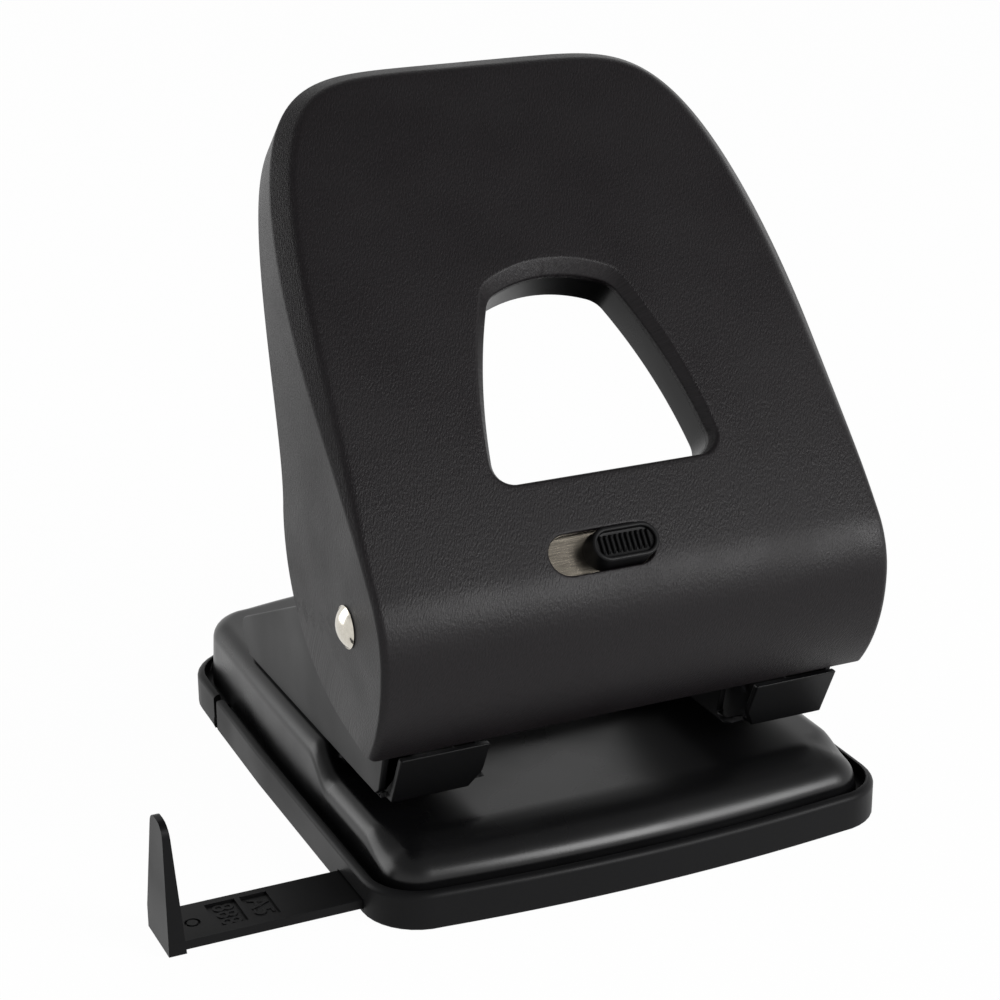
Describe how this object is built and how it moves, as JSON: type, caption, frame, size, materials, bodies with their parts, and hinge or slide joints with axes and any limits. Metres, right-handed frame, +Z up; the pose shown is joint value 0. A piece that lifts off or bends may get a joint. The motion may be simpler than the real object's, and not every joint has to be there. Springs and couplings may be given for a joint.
{
  "type": "hole punch",
  "caption": "Metal desk hole punch with a windowed lever handle, slide lock, pull-out paper guide and hinged chip tray; cuts filing holes in paper.",
  "frame": {"origin": "point of the desk plane under the middle of the base, on the punch's plane of symmetry", "axes": "+X to the user's right, +Y away from the user, +Z up; the desk is z = 0"},
  "size_m": [0.1565, 0.1372, 0.1511],
  "materials": {
    "base_paint": "satin black paint on pressed steel",
    "bracket_paint": "textured black paint",
    "handle_paint": "fine textured black powder coat",
    "bare_steel": "bare spring and tool steel",
    "zinc_steel": "zinc plated",
    "nickel": "bright nickel",
    "nylon": "natural nylon",
    "liner_plastic": "smooth black",
    "button_plastic": "satin black",
    "tray_plastic": "fine grained black",
    "guide_plastic": "satin black"
  },
  "bodies": {
    "base": {"base_plate": "base_paint", "bracket_left": "bracket_paint", "bracket_right": "bracket_paint", "bracket_rivets": "bracket_paint", "guide_strap_left": "bare_steel", "guide_strap_right": "bare_steel", "pivot_pin_left": "nickel", "pivot_pin_right": "nickel", "pivot_washers": "nylon", "tray_rear": "tray_plastic", "punch_spring_left": "bare_steel", "punch_spring_right": "bare_steel"},
    "handle": {"handle_shell": "handle_paint", "window_liner": "liner_plastic", "press_bar": "bare_steel", "lock_keeper": "bare_steel"},
    "lock": {"lock_plate": "zinc_steel", "lock_button": "button_plastic"},
    "pin_left": {"punch_left": "bare_steel", "punch_clip_left": "bare_steel"},
    "pin_right": {"punch_right": "bare_steel", "punch_clip_right": "bare_steel"},
    "tray": {"chip_tray": "tray_plastic"},
    "guide": {"paper_guide": "guide_plastic"}
  },
  "joints": [
    {"name": "handle_swing", "type": "hinge", "parent": "base", "child": "handle", "pos_m": [0, -0.041, 0.0575], "axis": [1, 0, 0], "range_deg": [-30, 0], "stiffness_Nm_per_rad": 1.2, "springref_deg": 34.38},
    {"name": "lock_slide", "type": "slide", "parent": "handle", "child": "lock", "axis": [1, 0, 0], "range_m": [-0.008, 0]},
    {"name": "pin_left_slide", "type": "slide", "parent": "base", "child": "pin_left", "axis": [0, 0, 1], "range_m": [-0.00815, 0], "deforming": ["punch_spring_left"]},
    {"name": "pin_right_slide", "type": "slide", "parent": "base", "child": "pin_right", "axis": [0, 0, 1], "range_m": [-0.00815, 0], "deforming": ["punch_spring_right"]},
    {"name": "tray_hinge", "type": "hinge", "parent": "base", "child": "tray", "pos_m": [0, 0.041, 0.0015], "axis": [1, 0, 0], "range_deg": [0, 55]},
    {"name": "guide_slide", "type": "slide", "parent": "tray", "child": "guide", "axis": [1, 0, 0], "range_m": [-0.045, 0.034]}
  ],
  "couplings": [
    {"joint": "pin_left_slide", "follows": "handle_swing", "m_per_rad": 0.015544},
    {"joint": "pin_right_slide", "follows": "handle_swing", "m_per_rad": 0.015544}
  ]
}
